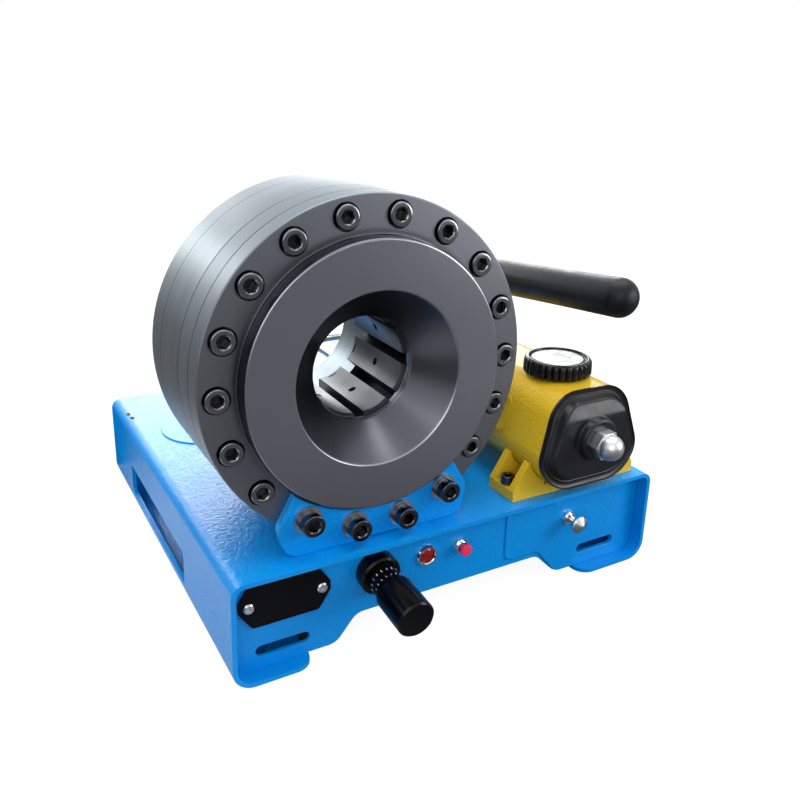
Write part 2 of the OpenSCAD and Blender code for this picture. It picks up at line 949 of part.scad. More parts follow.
module pump_block() {
    ear_t = 10;
    ear_in = cheek_in + cheek_t + 0.6;
    color("gold")
        difference() {
            union() {
                translate([pump_x, 0, 0])
                    sheet_at(block_y, block_l)
                        polygon(rounded([[-block_w / 2, reservoir_bottom, 6],
                            [block_w / 2, reservoir_bottom, 6], [block_w / 2, block_top, 10],
                            [-block_w / 2, block_top, 10]], 6));
                translate([pump_x, pivot_y - plunger_arm * cos(lever_lean), block_top - 1])
                    cylinder(r = 17, h = 13);
                for (s = [-1, 1])
                    translate([pump_x + s * (ear_in + ear_t / 2) - ear_t / 2, pivot_y, pivot_z])
                        rotate([90, 0, 90])
                            linear_extrude(ear_t)
                                fulcrum_ear_2d();
            }
            translate([pump_x, pivot_y - plunger_arm * cos(lever_lean), reservoir_bottom + 20])
                cylinder(r = plunger_r + fit, h = 200, $fn = 64);
            translate([pump_x - 30, pivot_y, pivot_z])
                rotate([0, 90, 0])
                    cylinder(r = 5.02, h = 60, $fn = 64);
            translate([pump_x, block_y - 1, rod_z])
                rotate([-90, 0, 0])
                    cylinder(r = rod_r + 0.02, h = 22, $fn = 48);
            translate([pump_x - block_w / 2 - 1, pipe_y, pipe_z])
                rotate([0, 90, 0])
                    cylinder(r = 6.1, h = 16, $fn = 48);
            translate([pump_x + block_w / 2 + 1, release_y, pipe_z])
                rotate([0, -90, 0])
                    cylinder(r = 5.05, h = 21, $fn = 48);
        }
}

// local x runs to the rear, local y up, the fulcrum at the origin
module fulcrum_ear_2d() {
    r = 13;
    low = block_top - pivot_z - 1;
    rear = block_y + block_l - pivot_y;
    circle(r = r, $fn = 64);
    polygon([[-r, 0], [r, 0], [rear, low], [-22, low]]);
}

module plunger() {
    pin_z = pivot_z + plunger_arm * sin(lever_lean);
    shoulder_z = pin_z - 28;
    color("silver")
        translate([pump_x, pivot_y - plunger_arm * cos(lever_lean), 0]) {
            translate([0, 0, reservoir_bottom + 24])
                cylinder(r = plunger_r, h = shoulder_z - reservoir_bottom - 24, $fn = 64);
            translate([-6, -6.5, shoulder_z - 1])
                cube([12, 13, 29]);
            translate([-6, 0, pin_z])
                rotate([0, 90, 0])
                    cylinder(r = 8, h = 12, $fn = 48);
            translate([-13, 0, pin_z])
                rotate([0, 90, 0])
                    cylinder(r = 4, h = 26, $fn = 48);
        }
}

// window in each cheek, so that the plunger pin can slide as the lever swings
module lever() {
    cheek_h = 26;
    window_h = 13.4;
    window_l = 27;
    web_y = -70;
    tube_r = 10;
    color("black")
        lever_frame()
            difference() {
                union() {
                    for (s = [-1, 1])
                        translate([s * (cheek_in + cheek_t / 2) - cheek_t / 2, 0, 0])
                            rotate([90, 0, 90])
                                linear_extrude(cheek_t) {
                                    circle(d = cheek_h, $fn = 64);
                                    translate([web_y - 10, -cheek_h / 2])
                                        square([10 - web_y, cheek_h]);
                                }
                    translate([-cheek_in - cheek_t, web_y - 12, -cheek_h / 2])
                        cube([2 * (cheek_in + cheek_t), 12, cheek_h]);
                    translate([0, web_y - 10, 0])
                        rotate([90, 0, 0])
                            cylinder(r = 13, h = 22, $fn = 64);
                    translate([0, web_y, 0])
                        rotate([90, 0, 0])
                            cylinder(r = tube_r, h = lever_l + web_y - 10, $fn = 64);
                }
                translate([-20, 0, 0])
                    rotate([0, 90, 0])
                        cylinder(r = 5.05, h = 40, $fn = 64);
                translate([-20, 0, 0])
                    rotate([90, 0, 90])
                        linear_extrude(40)
                            translate([-plunger_arm - (window_l - window_h) / 2 - 2.2, 0])
                                slot_2d(window_l + 4, window_h);
            }
}

module lever_grip() {
    r = grip_d / 2;
    end_r = 15;
    color("black")
        lever_frame()
            translate([0, -lever_l, 0])
                rotate([-90, 0, 0])
                    difference() {
                        rotate_extrude($fn = 64)
                            polygon(concat([[0, 0]], [for (a = [80:-10:0])
                                [r - end_r + end_r * cos(a), end_r - end_r * sin(a)]],
                                [[r, grip_l - 2], [r - 2, grip_l], [0, grip_l]]));
                        translate([0, 0, 10 - eps])
                            cylinder(r = 10 + fit, h = grip_l, $fn = 64);
                    }
}

module fulcrum_pin() {
    color("silver")
        translate([pump_x - 24.5, pivot_y, pivot_z])
            rotate([0, 90, 0])
                cylinder(r = 5, h = 49, $fn = 64);
}

module release_knob() {
    color("black")
        translate([pump_x + block_w / 2, release_y, pipe_z])
            rotate([0, 90, 0]) {
                translate([0, 0, -18])
                    cylinder(r = 5, h = 24, $fn = 48);
                translate([0, 0, 5])
                    linear_extrude(14)
                        polygon(ribbed(20, 14, 15.2));
            }
}

module oil_pipe() {
    bend_x = pipe_x + pipe_bend;
    start = face_y + head_l - 11;
    finish = pump_x - block_w / 2 + 14;
    color("silver") {
        translate([pipe_x, start, pipe_z])
            rotate([-90, 0, 0])
                tube(pipe_r, 3, pipe_y - pipe_bend - start);
        translate([bend_x, pipe_y - pipe_bend, pipe_z])
            rotate([0, 0, 90])
                rotate_extrude(angle = 90)
                    translate([pipe_bend, 0])
                        difference() {
                            circle(pipe_r, $fn = 48);
                            circle(3, $fn = 48);
                        }
        translate([bend_x, pipe_y, pipe_z])
            rotate([0, 90, 0])
                tube(pipe_r, 3, finish - bend_x);
    }
}

module pipe_nut() {
    difference() {
        union() {
            cylinder(d = 22, h = 12, $fn = 6);
            translate([0, 0, -10])
                cylinder(r = 6, h = 12, $fn = 48);
        }
        translate([0, 0, -11])
            cylinder(r = pipe_r + 0.02, h = 30, $fn = 48);
    }
}

module pipe_nuts() {
    color("silver") {
        translate([pipe_x, face_y + head_l, pipe_z])
            rotate([-90, 0, 0])
                pipe_nut();
        translate([pump_x - block_w / 2, pipe_y, pipe_z])
            rotate([0, -90, 0])
                pipe_nut();
    }
}

base_channel();
front_panel();
service_panel();
cradle_plate();
cover_disc();
battery_cover();
battery_cover_screws();
battery_box();
lamp_bezel();
lamp_lens();
button_bush();
button_cap();
latch_base();
latch_knob();
gauge_collar();
gauge_barrel();
gauge_sleeve();
gauge_spindle();
contact_block();
front_cover();
cylinder_body();  // cylinder
cover_screws();
cradle_screws();
cradle_washers();
piston();
piston_seals();
for (k = [1:8]) {
    jaw(k);
    die(k);
}
reservoir();
end_cap();
tie_rod();
cap_nut();
filler_cap();
pump_feet();
foot_screws();
pump_block();
plunger();
lever();
lever_grip();
fulcrum_pin();
release_knob();
oil_pipe();
pipe_nuts();
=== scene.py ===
"""Finishes, softened edges and modelled pieces of the hose crimping press, and its studio."""

import math

import bpy
from mathutils import Matrix, Vector


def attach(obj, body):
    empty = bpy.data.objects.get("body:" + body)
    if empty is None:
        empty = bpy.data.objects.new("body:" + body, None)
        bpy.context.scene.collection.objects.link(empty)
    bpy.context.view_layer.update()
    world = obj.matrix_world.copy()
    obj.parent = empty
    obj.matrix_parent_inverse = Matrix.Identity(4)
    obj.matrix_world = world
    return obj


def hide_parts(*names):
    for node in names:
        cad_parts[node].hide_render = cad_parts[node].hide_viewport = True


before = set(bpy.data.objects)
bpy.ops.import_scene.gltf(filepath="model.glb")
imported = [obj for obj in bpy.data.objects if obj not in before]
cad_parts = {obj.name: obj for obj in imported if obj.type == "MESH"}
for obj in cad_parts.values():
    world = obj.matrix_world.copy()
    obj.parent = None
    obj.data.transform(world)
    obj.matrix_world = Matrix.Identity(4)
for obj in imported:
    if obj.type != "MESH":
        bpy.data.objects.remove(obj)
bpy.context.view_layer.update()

# Places and sizes shared with the solids, in metres.
AXIS_X, FACE_Y, AXIS_Z = -0.0825, -0.186, 0.2305    # die axis, cover's front face
DIE_AXIS = (AXIS_X, FACE_Y, AXIS_Z)
GROOVE_Y = FACE_Y + 0.02                            # fine groove round the cover
SEAM_Y = FACE_Y + 0.045                             # where the cover meets the cylinder
STEP_Y = FACE_Y + 0.0945                            # step at the back of the barrel
WALL_IN, SINK = 0.025, 0.009                        # cover: inner wall face, screw head seats
SCREW_CIRCLE = 0.121
COVER_ANGLES = [-130 + 20 * i for i in range(14)]
CRADLE_ANGLES = [150, 170, 190, 210]
CRADLE_T, WASHER_T, HEAD_D, HEAD_H = 0.008, 0.0025, 0.018, 0.012
GAUGE = (-0.086, -0.2105, 0.063)                    # stop gauge, on its axis
PLATE_Z = 0.095                                     # top of the base
PUMP_X = 0.120
ROD = Vector((PUMP_X, -0.211, 0.1505))              # tie rod where it leaves the reservoir
CAP_LEAN = math.radians(6.5)
FILLER = (PUMP_X, -0.16, 0.1955)                    # foot of the filler cap
FULCRUM = Vector((PUMP_X, 0.126, 0.245))
LEVER_LEAN = math.radians(5.7)
GRIP_END = 0.372                                    # from the fulcrum to the grip's far end
FOOT_SCREW_X, FOOT_SCREW_Y, FOOT_SCREW_Z = 0.064, (-0.1815, 0.0845), PLATE_Z + 0.018
OUT_TO_FRONT = Matrix.Rotation(math.pi / 2, 4, "X")     # local Z turned to the operator

# painted shade: the dark of the head's groove, joint and step, and of the foot of the step on
# its face
PAINTED_SHADE = (0.02, 0.022, 0.028)
# painted shade: the dark inside the screws' key holes
KEY_HOLE_SHADE = (0.05, 0.05, 0.055)


# ---------------------------------------------------------------- materials
def toned(colour, by):
    """A colour made lighter or darker."""
    return [min(1, c * by) for c in colour]


def fill_ramp(ramp, stops):
    """Set a colour ramp's stops, each a position and a colour, from first to last."""
    while len(ramp.elements) < len(stops):
        ramp.elements.new(0.5)
    for element, (at, colour) in zip(ramp.elements, stops):
        element.position = at
        element.color = (*colour, 1)


class Finish:
    """A node material that is put together step by step."""

    def __init__(self, name, colour, roughness, metallic=0.0, **sockets):
        self.material = bpy.data.materials.new(name)
        self.material.use_nodes = True
        self.tree = self.material.node_tree
        self.shader = self.tree.nodes["Principled BSDF"]
        self.shader.inputs["Base Color"].default_value = (*colour, 1)
        self.shader.inputs["Roughness"].default_value = roughness
        self.shader.inputs["Metallic"].default_value = metallic
        for socket, value in sockets.items():
            self.shader.inputs[socket.replace("_", " ")].default_value = value
        self.last_bump = None
        self.place = self.node("ShaderNodeTexCoord").outputs["Object"]

    def node(self, kind, **settings):
        made = self.tree.nodes.new(kind)
        for key, value in settings.items():
            if key in made.inputs.keys():
                made.inputs[key].default_value = value
            else:
                setattr(made, key, value)
        return made

    def link(self, a, b):
        self.tree.links.new(a, b)
        return self

    def maths(self, operation, *terms):
        """Result of a sum whose terms are numbers or other results."""
        made = self.node("ShaderNodeMath", operation=operation)
        for socket, term in zip(made.inputs, terms):
            if isinstance(term, (int, float)):
                socket.default_value = term
            else:
                self.link(term, socket)
        return made.outputs[0]

    def parts(self, vector):
        """The X, Y and Z of a vector."""
        made = self.node("ShaderNodeSeparateXYZ")
        self.link(vector, made.inputs[0])
        return made.outputs

    def centred(self, place=(0, 0, 0), turn=(0, 0, 0), scale=(1, 1, 1)):
        """Object coordinates measured from a place on the piece."""
        shift = self.node("ShaderNodeMapping", vector_type="POINT")
        shift.inputs["Location"].default_value = [-c for c in place]
        self.link(self.place, shift.inputs["Vector"])
        turned_to = self.node("ShaderNodeMapping", vector_type="POINT")
        turned_to.inputs["Rotation"].default_value = turn
        turned_to.inputs["Scale"].default_value = scale
        self.link(shift.outputs["Vector"], turned_to.inputs["Vector"])
        return turned_to.outputs["Vector"]

    def nearness(self, place, scale):
        """One at a place, and nought from one scaled metre away."""
        made = self.node("ShaderNodeTexGradient", gradient_type="SPHERICAL")
        self.link(self.centred(place, scale=scale), made.inputs["Vector"])
        return made.outputs["Fac"]

    def noise(self, scale, detail=3.0, rough=0.5, where=None):
        made = self.node("ShaderNodeTexNoise")
        made.inputs["Scale"].default_value = scale
        made.inputs["Detail"].default_value = detail
        made.inputs["Roughness"].default_value = rough
        self.link(where or self.place, made.inputs["Vector"])
        return made.outputs["Fac"]

    def rings(self, place, spacing):
        """Value that waves with the distance from a lengthwise axis through a place."""
        ring_at_scale_one = 0.314
        made = self.node("ShaderNodeTexWave", wave_type="RINGS", rings_direction="Z",
                         wave_profile="SIN")
        made.inputs["Scale"].default_value = ring_at_scale_one / spacing
        self.link(self.centred(place, (math.pi / 2, 0, 0)), made.inputs["Vector"])
        return made.outputs["Fac"]

    def spots(self, *places):
        """One inside small ragged spots, each given as a place and a radius; else nought."""
        total = None
        for place, radius in places:
            near = self.nearness(place, (1 / radius, 0.5 / radius, 1 / radius))
            ragged = self.maths("MULTIPLY_ADD", self.noise(900), 0.5, near)
            mask = self.spread(ragged, 0.62, 0.68, 0, 1)
            total = self.maths("MAXIMUM", total, mask) if total else mask
        return total

    def ramp(self, value, *stops):
        made = self.node("ShaderNodeValToRGB")
        fill_ramp(made.color_ramp, stops)
        self.link(value, made.inputs["Fac"])
        return made.outputs["Color"]

    def spread(self, value, low, high, to_low, to_high):
        made = self.node("ShaderNodeMapRange")
        for socket, number in zip(("From Min", "From Max", "To Min", "To Max"),
                                  (low, high, to_low, to_high)):
            made.inputs[socket].default_value = number
        self.link(value, made.inputs["Value"])
        return made.outputs["Result"]

    def mix(self, value, a, b):
        """Colour a where the value is nought and b where it is one."""
        made = self.node("ShaderNodeMix", data_type="RGBA")
        self.link(value, made.inputs["Factor"])
        ends = [socket for socket in made.inputs if socket.type == "RGBA"]
        for socket, colour in zip(ends, (a, b)):
            if isinstance(colour, (tuple, list)):
                socket.default_value = (*colour, 1)
            else:
                self.link(colour, socket)
        return [socket for socket in made.outputs if socket.type == "RGBA"][0]

    def colour(self, value):
        return self.link(value, self.shader.inputs["Base Color"])

    def roughness(self, value):
        return self.link(value, self.shader.inputs["Roughness"])

    def bump(self, height, strength, distance):
        made = self.node("ShaderNodeBump")
        made.inputs["Strength"].default_value = strength
        made.inputs["Distance"].default_value = distance
        self.link(height, made.inputs["Height"])
        if self.last_bump:
            self.link(self.last_bump, made.inputs["Normal"])
        self.last_bump = made.outputs["Normal"]
        return self.link(self.last_bump, self.shader.inputs["Normal"])


def powder_coat(name, deep, bright, shine=0.31, chips=()):
    """Thick glossy paint with the orange-peel of a sprayed coat, chipped where knocked."""
    paint = Finish(name, bright, 0.24, Specular_IOR_Level=shine)
    coat = paint.ramp(paint.noise(9, 4), (0.3, deep), (0.7, bright))
    gloss = paint.spread(paint.noise(60, 2), 0.3, 0.7, 0.13, 0.2)
    if chips:
        bare = paint.spots(*chips)
        coat = paint.mix(bare, coat, (0.002, 0.003, 0.006))
        gloss = paint.maths("MAXIMUM", gloss, paint.spread(bare, 0, 1, 0.0, 0.6))
    paint.colour(coat).roughness(gloss)
    paint.bump(paint.noise(300, rough=0.6), 0.7, 0.0009)
    return paint.material


def turned_steel(name, colour, roughness, mark=0.25, tone=1.25):
    """Steel off the lathe: faint rings about the die axis."""
    steel = Finish(name, colour, roughness, 1.0)
    steel.colour(steel.ramp(steel.noise(16), (0.3, colour), (0.75, toned(colour, tone))))
    steel.roughness(steel.spread(steel.noise(60), 0.25, 0.75, roughness - 0.03,
                                 roughness + 0.05))
    steel.bump(steel.rings(DIE_AXIS, 0.0007), mark, 0.00005)
    return steel.material


def seams(steel, tone, *places):
    """Dark lines round the head at places along the die axis: painted shade in its groove,
    joint and step.
    """
    half_width = 0.00055
    along = steel.parts(steel.place)["Y"]
    for y in places:
        tone = steel.mix(steel.maths("COMPARE", along, y, half_width), tone, PAINTED_SHADE)
    return tone


def cover_steel(name, roughness):
    """Front of the head: a pale raised face between a cone and an oxide ring, the cone coloured
    dark as painted shade inside the mouth.
    """
    ring, face, cone = (0.235, 0.245, 0.28), (0.42, 0.43, 0.49), (0.13, 0.135, 0.155)
    side, smudge = (0.275, 0.315, 0.345), (0.12, 0.12, 0.13)
    reach = 0.14
    steel = Finish(name, face, roughness, 1.0)
    near = steel.nearness(DIE_AXIS, (1 / reach, 0, 1 / reach))

    def at(radius):
        return 1 - radius / reach

    # from 112 mm to 60 mm from the axis, where the ring, the step, the face and the cone meet;
    # the dark band at the foot of the step is painted shade, and so is the cone's dark colour
    across = steel.spread(near, at(0.112), at(0.060), 0, 1)
    zones = steel.ramp(across, (0.10, ring), (0.112, PAINTED_SHADE), (0.122, PAINTED_SHADE),
                       (0.134, face), (0.836, face), (0.856, cone))
    tone = steel.mix(steel.spread(near, at(0.1349), at(0.1343), 1, 0), zones, side)
    tone = seams(steel, tone, GROOVE_Y, SEAM_Y)
    cloud = steel.spread(steel.noise(6), 0.0, 1.0, 0.0, 0.2)
    steel.colour(steel.mix(cloud, tone, smudge))
    # the oxide ring outside the step is duller than the face
    steel.roughness(steel.spread(near, at(0.112), at(0.109), roughness + 0.15, roughness))
    steel.bump(steel.rings(DIE_AXIS, 0.0009), 0.12, 0.00005)
    return steel.material


def barrel_steel(name, colour, roughness):
    """Outside of the head: feed lines of the lathe round the barrel, with painted shade at the
    joint and the step.
    """
    steel = Finish(name, colour, roughness, 1.0)
    lines = steel.noise(1.0, where=steel.centred(DIE_AXIS, scale=(6, 420, 6)))
    tint = steel.ramp(lines, (0.25, toned(colour, 0.8)), (0.75, toned(colour, 1.15)))
    cloud = steel.spread(steel.noise(11, 2), 0.38, 0.66, 0.0, 0.45)
    tint = steel.mix(cloud, tint, toned(colour, 1.35))
    steel.colour(seams(steel, tint, SEAM_Y, STEP_Y))
    steel.roughness(steel.spread(steel.noise(14, 2), 0.3, 0.7, roughness - 0.02,
                                 roughness + 0.03))
    steel.bump(lines, 0.3, 0.00006)
    return steel.material


def graduated(name, colour, roughness, axis, rows):
    """Anodised barrel with white marks in rows round its axis, one every twenty degrees."""
    half_gap, half_mark, white = math.pi / 18, 0.035, (0.5, 0.51, 0.53)
    barrel = Finish(name, colour, roughness, Specular_IOR_Level=0.2)
    place = barrel.parts(barrel.centred(axis))
    turn = barrel.maths("ARCTAN2", place["X"], place["Z"])
    spoke = barrel.maths("COMPARE", barrel.maths("PINGPONG", turn, half_gap), 0.0, half_mark)
    tone = barrel.mix(barrel.noise(60, 2), colour, toned(colour, 2))
    for y, half_length in rows:
        band = barrel.maths("COMPARE", place["Y"], y, half_length)
        tone = barrel.mix(barrel.maths("MULTIPLY", spoke, band), tone, white)
    barrel.colour(tone)
    return barrel.material


def plated(name, colour, roughness, metallic=1.0, shaded_key_hole=False, **sockets):
    """Smooth plated or polished metal with light handling marks, and painted shade in its key
    hole.
    """
    metal = Finish(name, colour, roughness, metallic, **sockets)
    tone = metal.ramp(metal.noise(40), (0.3, toned(colour, 0.95)), (0.7, colour))
    if shaded_key_hole:
        deep = metal.node("ShaderNodeAttribute", attribute_name="key_hole")
        tone = metal.mix(deep.outputs["Fac"], tone, KEY_HOLE_SHADE)
    metal.colour(tone)
    metal.roughness(metal.spread(metal.noise(120), 0.3, 0.7, roughness * 0.85,
                                 roughness * 1.2))
    return metal.material


def moulded(name, colour, roughness, grain=900, depth=0.12, **sockets):
    """Moulded plastic or rubber with the grain of its mould."""
    skin = Finish(name, colour, roughness, **sockets)
    skin.colour(skin.ramp(skin.noise(30, 4), (0.3, colour),
                          (0.7, [min(1, c * 1.3 + 0.001) for c in colour])))
    skin.roughness(skin.spread(skin.noise(80), 0.3, 0.7, roughness - 0.05, roughness + 0.08))
    skin.bump(skin.noise(grain), depth, 0.0003)
    return skin.material


CHIPS = [((-0.204, 0.160, 0.0945), 0.0037), ((-0.2025, 0.1465, 0.0948), 0.0037)]
MARKS = [(-0.006, 0.0013), (-0.0135, 0.0008)]       # rows of the gauge: place, half length
ANODISED = (0.002, 0.002, 0.0025)

blue = powder_coat("blue_powder_coat", (0.0014, 0.27, 0.76), (0.0016, 0.30, 0.82), chips=CHIPS)
yellow = powder_coat("yellow_enamel", (0.72, 0.46, 0.020), (0.79, 0.53, 0.028), 0.24)
head_steel = barrel_steel("turned_barrel_steel", (0.245, 0.285, 0.31), 0.37)
face_steel = cover_steel("oxide_steel_face", 0.27)
die_steel = turned_steel("polished_die_steel", (0.105, 0.11, 0.115), 0.4, 0.12, 1.7)
jaw_steel = turned_steel("ground_jaw_steel", (0.12, 0.12, 0.13), 0.36)
screw_oxide = plated("black_oxide_screw", (0.28, 0.285, 0.30), 0.2, shaded_key_hole=True)
dark_screw = plated("dark_oxide_screw", (0.10, 0.10, 0.11), 0.1, shaded_key_hole=True)
zinc = plated("bright_zinc", (0.66, 0.67, 0.69), 0.22)
chrome = plated("chrome_plate", (0.83, 0.84, 0.86), 0.08)
nut_zinc = plated("acorn_nut_zinc", (0.74, 0.76, 0.76), 0.33)
anodised = plated("black_anodised", ANODISED, 0.16, 0.0, Specular_IOR_Level=0.2)
gauge_marks = graduated("graduated_barrel", ANODISED, 0.16, GAUGE, MARKS)
enamel = plated("black_enamel", (0.004, 0.004, 0.005), 0.2, 0.0, Specular_IOR_Level=0.14)
plastic = moulded("black_plastic", (0.002, 0.002, 0.003), 0.3, Specular_IOR_Level=0.1)
cap_plastic = moulded("filler_cap_plastic", (0.005, 0.005, 0.006), 0.22,
                      Specular_IOR_Level=0.4)
cap_rubber = moulded("cap_rubber", (0.006, 0.006, 0.008), 0.32, 500, 0.15,
                     Specular_IOR_Level=0.45)
grip_foam = moulded("grip_foam", (0.0028, 0.0038, 0.005), 0.4, 1400, 0.2,
                    Specular_IOR_Level=0.28)
seal = moulded("seal_rubber", (0.01, 0.01, 0.01), 0.5)
lens = Finish("red_lens", (0.26, 0.003, 0.006), 0.08, Coat_Weight=0.3, Coat_Roughness=0.05)
lens.bump(lens.noise(600, 1), 0.1, 0.0002)
red_plastic = moulded("red_cap_plastic", (0.72, 0.03, 0.10), 0.3)

FINISHES = {
    blue: ["base_channel", "front_panel", "service_panel", "cradle_plate", "cover_disc"],
    yellow: ["reservoir", "pump_feet", "pump_block"],
    head_steel: ["cylinder"],
    face_steel: ["front_cover"],
    die_steel: [f"die_{k}" for k in range(1, 9)],
    jaw_steel: ["piston"] + [f"jaw_{k}" for k in range(1, 9)],
    screw_oxide: ["cover_screws"],
    dark_screw: ["cradle_screws", "foot_screws"],
    zinc: ["cradle_washers", "battery_cover_screws", "tie_rod", "fulcrum_pin", "plunger",
           "gauge_spindle", "oil_pipe", "pipe_nuts"],
    chrome: ["lamp_bezel", "button_bush", "latch_base", "latch_knob"],
    nut_zinc: ["cap_nut"],
    anodised: ["gauge_collar", "gauge_sleeve"],
    gauge_marks: ["gauge_barrel"],
    enamel: ["lever"],
    plastic: ["battery_cover", "battery_box", "release_knob", "contact_block"],
    cap_plastic: ["filler_cap"],
    lens.material: ["lamp_lens"],
    red_plastic: ["button_cap"],
    seal: ["piston_seals"],
    cap_rubber: ["end_cap"],
    grip_foam: ["lever_grip"],
}
for finish, names in FINISHES.items():
    for name in names:
        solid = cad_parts[name]
        solid.data.materials.clear()
        solid.data.materials.append(finish)


# ---------------------------------------------------------------- modelling
def clear():
    bpy.ops.object.select_all(action="DESELECT")


def only(piece):
    """Leave one piece selected and active."""
    clear()
    piece.select_set(True)
    bpy.context.view_layer.objects.active = piece


def copied(source, name):
    """A second piece with its own mesh."""
    piece = bpy.data.objects.new(name, source.data.copy())
    bpy.context.scene.collection.objects.link(piece)
    return piece


def pick(piece, kind, test):
    """Open a piece for editing with only the faces or edges that pass a test picked."""
    bpy.context.view_layer.objects.active = piece
    bpy.ops.object.mode_set(mode="EDIT")
    bpy.ops.mesh.select_mode(type={"polygons": "FACE", "edges": "EDGE"}[kind])
    bpy.ops.mesh.select_all(action="DESELECT")
    bpy.ops.object.mode_set(mode="OBJECT")
    for part in getattr(piece.data, kind):
        part.select = test(part)
    bpy.ops.object.mode_set(mode="EDIT")


def draw_out(x, y, z):
    """Extrude what is picked."""
    bpy.ops.mesh.extrude_region_move(TRANSFORM_OT_translate={"value": (x, y, z)})


def tidy(piece):
    """Merge doubles and turn every face outwards."""
    bpy.context.view_layer.objects.active = piece
    bpy.ops.object.mode_set(mode="EDIT")
    bpy.ops.mesh.select_all(action="SELECT")
    bpy.ops.mesh.remove_doubles(threshold=0.000002)
    bpy.ops.mesh.normals_make_consistent(inside=False)
    bpy.ops.object.mode_set(mode="OBJECT")


def close_rim(piece, z):
    """Put a face over the open rim at a height."""
    pick(piece, "edges", lambda e: all(abs(piece.data.vertices[i].co.z - z) < 1e-6
                                       for i in e.vertices))
    bpy.ops.mesh.edge_face_add()
    bpy.ops.object.mode_set(mode="OBJECT")
    tidy(piece)


def cut_away(piece, tool):
    """Take a tool's shape out of a piece, once its modifiers are applied."""
    cut = piece.modifiers.new("cut", "BOOLEAN")
    cut.operation = "DIFFERENCE"
    cut.solver = "EXACT"
    cut.object = tool


def apply_all(piece):
    for modifier in list(piece.modifiers):
        bpy.context.view_layer.objects.active = piece
        bpy.ops.object.modifier_apply(modifier=modifier.name)


def smooth(piece, sharp):
    """Smooth shading over every edge that is less sharp than an angle."""
    only(piece)
    bpy.ops.object.shade_smooth_by_angle(angle=math.radians(sharp))


def finish_shape(piece, sharp):
    """Keep the broad faces flat in the shading, and apply what shapes the piece."""
    piece.modifiers.new("shading", "WEIGHTED_NORMAL").keep_sharp = True
    smooth(piece, sharp)
    apply_all(piece)


def stand(piece, matrix):
    """Put a piece in its place, with the place in its mesh."""
    only(piece)
    piece.matrix_world = matrix
    bpy.ops.object.transform_apply(location=True, rotation=True, scale=True)


def dress(piece, finish, body, node):
    """Give a piece its finish and the body it rides on, and hide the solid it stands for."""
    piece.data.materials.clear()
    piece.data.materials.append(finish)
    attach(piece, body)
    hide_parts(node)


def turned(name, profile, steps):
    """A lathe piece about local Z: the points (radius, height) drawn out, then spun."""
    clear()
    bpy.ops.mesh.primitive_plane_add(size=0.001)
    piece = bpy.context.object
    piece.name = name
    bpy.ops.object.mode_set(mode="EDIT")
    bpy.ops.mesh.select_mode(type="VERT")
    bpy.ops.mesh.select_all(action="SELECT")
    bpy.ops.mesh.merge(type="CENTER")
    bpy.ops.transform.translate(value=(profile[0][0], 0, profile[0][1]))
    for (r0, z0), (r1, z1) in zip(profile, profile[1:]):
        draw_out(r1 - r0, 0, z1 - z0)
    bpy.ops.mesh.select_all(action="SELECT")
    bpy.ops.mesh.spin(steps=steps, angle=2 * math.pi, center=(0, 0, 0), axis=(0, 0, 1))
    bpy.ops.object.mode_set(mode="OBJECT")
    tidy(piece)
    return piece


def arc(cx, cz, r, start, end, steps):
    """Points of a rounding in a profile, angles in degrees."""
    return [(cx + r * math.cos(math.radians(start + (end - start) * i / steps)),
             cz + r * math.sin(math.radians(start + (end - start) * i / steps)))
            for i in range(steps + 1)]


def rounded_outline(corners, count):
    """Points spaced evenly round a polygon with rounded corners, from (x, y, radius)."""
    path, fine = [], 12
    for i, (x, y, r) in enumerate(corners):
        p = Vector((x, y))
        u = (Vector(corners[i - 1][:2]) - p).normalized()
        w = (Vector(corners[(i + 1) % len(corners)][:2]) - p).normalized()
        half = u.angle(w) / 2
        centre = p + (u + w).normalized() * (r / math.sin(half))
        a, b = p + u * r / math.tan(half) - centre, p + w * r / math.tan(half) - centre
        for k in range(fine + 1):
            path.append(centre + a.slerp(b, k / fine).normalized() * r)
    steps = [(path[(i + 1) % len(path)] - path[i]).length for i in range(len(path))]
    total, points, at, i = sum(steps), [], 0.0, 0
    for k in range(count):
        goal = total * k / count
        while at + steps[i] < goal:
            at += steps[i]
            i += 1
        part = (goal - at) / max(steps[i], 1e-9)
        points.append(path[i].lerp(path[(i + 1) % len(path)], part))
    return points


def smooth_step(t):
    t = min(1, max(0, t))
    return t * t * (3 - 2 * t)


def softened(node, finish, body, slot, width):
    """The solid's own shape with its edges broken, as a file or a thick coat leaves them."""
    sharp = 30
    piece = copied(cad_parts[node], node + "_soft")
    only(piece)
    bpy.ops.object.mode_set(mode="EDIT")
    bpy.ops.mesh.select_all(action="SELECT")
    bpy.ops.mesh.remove_doubles(threshold=0.000005)
    bpy.ops.mesh.dissolve_limited(angle_limit=math.radians(0.5))
    bpy.ops.object.mode_set(mode="OBJECT")
    bevel = piece.modifiers.new("edges", "BEVEL")
    bevel.width = width
    bevel.segments = 2
    bevel.limit_method = "ANGLE"
    bevel.angle_limit = math.radians(sharp)
    bevel.use_clamp_overlap = True
    finish_shape(piece, sharp)
    dress(piece, finish, body, node)


# ---------------------------------------------------------------- pump pieces
CAP_OUTLINE = [(-0.0385, 0.0446, 0.031), (0.0385, 0.0446, 0.031), (0.0578, -0.0187, 0.0235),
               (0.039, -0.0455, 0.037), (-0.039, -0.0455, 0.037), (-0.0578, -0.0187, 0.0235)]
BOSS_SLOPE, BROW_SLOPE, CREASE = 0.114, 0.36, 0.0205    # cap's face below and above its crease


def cap_face_height(s):
    """How far the cap's face stands out at a height above the rod."""
    lower, upper = 0.0098 + BOSS_SLOPE * s, 0.0121 - BROW_SLOPE * (s - CREASE)
    soft = 0.0006
    return -soft * math.log(math.exp(-lower / soft) + math.exp(-upper / soft))


